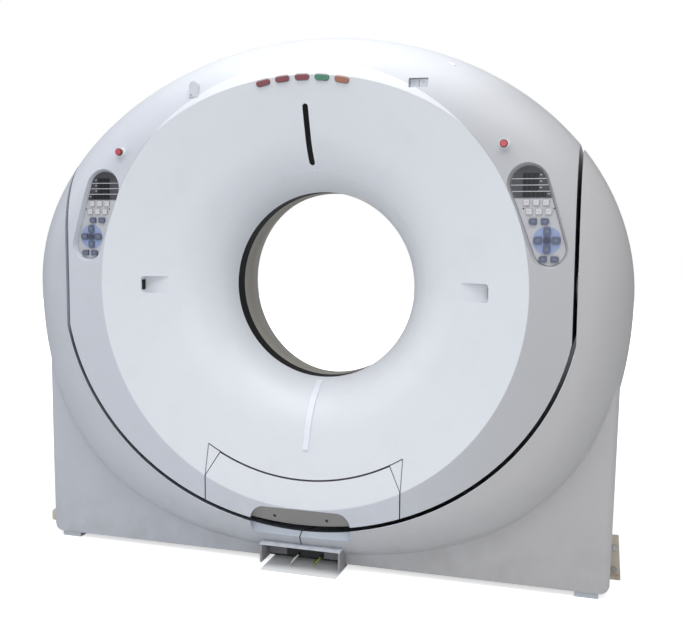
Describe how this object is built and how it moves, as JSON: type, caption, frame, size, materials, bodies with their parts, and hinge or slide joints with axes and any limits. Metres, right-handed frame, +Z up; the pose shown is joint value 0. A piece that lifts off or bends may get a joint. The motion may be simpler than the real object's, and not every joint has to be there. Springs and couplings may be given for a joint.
{
  "type": "computed tomography scanner gantry",
  "caption": "Tilting computed tomography gantry: funnel-shaped covers round a wide bore, a cradle stand, keypads, and a belt-driven rotor inside.",
  "frame": {"origin": "centre of the bounding box at floor level", "axes": "+X to the right seen from the front, +Y from the patient side to the back, +Z up"},
  "size_m": [2.294, 0.98, 1.978],
  "materials": {
    "white_cover": "satin moulded cover, white",
    "grey_cover": "satin moulded cover, light grey",
    "stand_cover": "satin moulded cover, cool grey",
    "panel_face": "fine matt keypad plate",
    "display": "dark window",
    "blue_key": "matt key cap",
    "red_button": "gloss red cap",
    "lamp_lens": "tinted lens",
    "dark_window": "dark glossy ring",
    "liner": "grooved bore liner",
    "strip": "matt strip",
    "socket_dark": "dark socket plate",
    "hood": "painted sheet",
    "black_plastic": "black connector",
    "cable_jacket": "flexible jacket",
    "frame_steel": "painted steel",
    "bracket_steel": "painted bracket",
    "bright_steel": "bright steel",
    "alloy": "machined alloy",
    "belt_rubber": "belt",
    "cast": "cast weight"
  },
  "bodies": {
    "stand": {"base_frame": "frame_steel", "side_pylons": "frame_steel", "stand_cover_left": "stand_cover", "stand_cover_right": "stand_cover", "rear_stand_cover": "stand_cover", "cable_hood": "hood", "hood_connectors": "black_plastic", "hood_cables": "cable_jacket", "anchor_brackets": "bracket_steel", "anchor_bolts": "bright_steel", "tilt_bearings": "bright_steel", "tilt_motor": "frame_steel"},
    "tilt_pinion": {"tilt_pinion": "bright_steel"},
    "gantry": {"tilt_frame": "frame_steel", "sector_gear": "bright_steel", "bearing_outer_race": "bright_steel", "front_cover": "white_cover", "ring_cover": "grey_cover", "rear_cover": "grey_cover", "service_panel": "white_cover", "scan_window": "dark_window", "bore_liner": "liner", "laser_windows": "dark_window", "status_lamps": "lamp_lens", "socket_plates": "socket_dark", "hook_tab": "grey_cover", "strip_cover": "strip", "control_panels": "panel_face", "display_windows": "display", "drive_motor": "frame_steel", "drive_belt": "belt_rubber", "brush_block": "black_plastic"},
    "motor_pulley": {"motor_pulley": "bright_steel"},
    "rotor": {"rotor_ring": "alloy", "slip_ring": "alloy", "xray_tube": "frame_steel", "collimator": "alloy", "hv_generator": "frame_steel", "detector_arc": "alloy", "counterweight": "cast"},
    "key_up_right": {"key_up_right": "blue_key"},
    "key_down_right": {"key_down_right": "blue_key"},
    "key_in_right": {"key_in_right": "blue_key"},
    "key_out_right": {"key_out_right": "blue_key"},
    "key_home_right": {"key_home_right": "blue_key"},
    "key_a_right": {"key_a_right": "blue_key"},
    "key_b_right": {"key_b_right": "blue_key"},
    "key_c_right": {"key_c_right": "blue_key"},
    "key_d_right": {"key_d_right": "blue_key"},
    "stop_button_right": {"stop_button_right": "red_button"},
    "key_up_left": {"key_up_left": "blue_key"},
    "key_down_left": {"key_down_left": "blue_key"},
    "key_in_left": {"key_in_left": "blue_key"},
    "key_out_left": {"key_out_left": "blue_key"},
    "key_home_left": {"key_home_left": "blue_key"},
    "key_a_left": {"key_a_left": "blue_key"},
    "key_b_left": {"key_b_left": "blue_key"},
    "key_c_left": {"key_c_left": "blue_key"},
    "key_d_left": {"key_d_left": "blue_key"},
    "stop_button_left": {"stop_button_left": "red_button"}
  },
  "joints": [
    {"name": "gantry_tilt", "type": "hinge", "parent": "stand", "child": "gantry", "pos_m": [0, -0.156, 1.05], "axis": [1, 0, 0], "range_deg": [-30, 30]},
    {"name": "pinion_spin", "type": "hinge", "parent": "stand", "child": "tilt_pinion", "pos_m": [0.967, 0.132, 1.05], "axis": [1, 0, 0], "range_deg": [-150, 150]},
    {"name": "rotor_spin", "type": "hinge", "parent": "gantry", "child": "rotor", "pos_m": [0, -0.156, 1.05], "axis": [0, 1, 0], "continuous": true},
    {"name": "pulley_spin", "type": "hinge", "parent": "gantry", "child": "motor_pulley", "pos_m": [-0.78, -0.034, 1.52], "axis": [0, 1, 0], "continuous": true},
    {"name": "press_up_right", "type": "slide", "parent": "gantry", "child": "key_up_right", "axis": [0, 1, 0], "range_m": [0, 0.0015], "stiffness_N_per_m": 300},
    {"name": "press_down_right", "type": "slide", "parent": "gantry", "child": "key_down_right", "axis": [0, 1, 0], "range_m": [0, 0.0015], "stiffness_N_per_m": 300},
    {"name": "press_in_right", "type": "slide", "parent": "gantry", "child": "key_in_right", "axis": [0, 1, 0], "range_m": [0, 0.0015], "stiffness_N_per_m": 300},
    {"name": "press_out_right", "type": "slide", "parent": "gantry", "child": "key_out_right", "axis": [0, 1, 0], "range_m": [0, 0.0015], "stiffness_N_per_m": 300},
    {"name": "press_home_right", "type": "slide", "parent": "gantry", "child": "key_home_right", "axis": [0, 1, 0], "range_m": [0, 0.0015], "stiffness_N_per_m": 300},
    {"name": "press_a_right", "type": "slide", "parent": "gantry", "child": "key_a_right", "axis": [0, 1, 0], "range_m": [0, 0.0015], "stiffness_N_per_m": 300},
    {"name": "press_b_right", "type": "slide", "parent": "gantry", "child": "key_b_right", "axis": [0, 1, 0], "range_m": [0, 0.0015], "stiffness_N_per_m": 300},
    {"name": "press_c_right", "type": "slide", "parent": "gantry", "child": "key_c_right", "axis": [0, 1, 0], "range_m": [0, 0.0015], "stiffness_N_per_m": 300},
    {"name": "press_d_right", "type": "slide", "parent": "gantry", "child": "key_d_right", "axis": [0, 1, 0], "range_m": [0, 0.0015], "stiffness_N_per_m": 300},
    {"name": "press_stop_right", "type": "slide", "parent": "gantry", "child": "stop_button_right", "axis": [0, 1, 0], "range_m": [0, 0.004], "stiffness_N_per_m": 900},
    {"name": "press_up_left", "type": "slide", "parent": "gantry", "child": "key_up_left", "axis": [0, 1, 0], "range_m": [0, 0.0015], "stiffness_N_per_m": 300},
    {"name": "press_down_left", "type": "slide", "parent": "gantry", "child": "key_down_left", "axis": [0, 1, 0], "range_m": [0, 0.0015], "stiffness_N_per_m": 300},
    {"name": "press_in_left", "type": "slide", "parent": "gantry", "child": "key_in_left", "axis": [0, 1, 0], "range_m": [0, 0.0015], "stiffness_N_per_m": 300},
    {"name": "press_out_left", "type": "slide", "parent": "gantry", "child": "key_out_left", "axis": [0, 1, 0], "range_m": [0, 0.0015], "stiffness_N_per_m": 300},
    {"name": "press_home_left", "type": "slide", "parent": "gantry", "child": "key_home_left", "axis": [0, 1, 0], "range_m": [0, 0.0015], "stiffness_N_per_m": 300},
    {"name": "press_a_left", "type": "slide", "parent": "gantry", "child": "key_a_left", "axis": [0, 1, 0], "range_m": [0, 0.0015], "stiffness_N_per_m": 300},
    {"name": "press_b_left", "type": "slide", "parent": "gantry", "child": "key_b_left", "axis": [0, 1, 0], "range_m": [0, 0.0015], "stiffness_N_per_m": 300},
    {"name": "press_c_left", "type": "slide", "parent": "gantry", "child": "key_c_left", "axis": [0, 1, 0], "range_m": [0, 0.0015], "stiffness_N_per_m": 300},
    {"name": "press_d_left", "type": "slide", "parent": "gantry", "child": "key_d_left", "axis": [0, 1, 0], "range_m": [0, 0.0015], "stiffness_N_per_m": 300},
    {"name": "press_stop_left", "type": "slide", "parent": "gantry", "child": "stop_button_left", "axis": [0, 1, 0], "range_m": [0, 0.004], "stiffness_N_per_m": 900}
  ],
  "couplings": [
    {"joint": "pinion_spin", "follows": "gantry_tilt", "ratio": -5},
    {"joint": "pulley_spin", "follows": "rotor_spin", "ratio": 12.734}
  ]
}
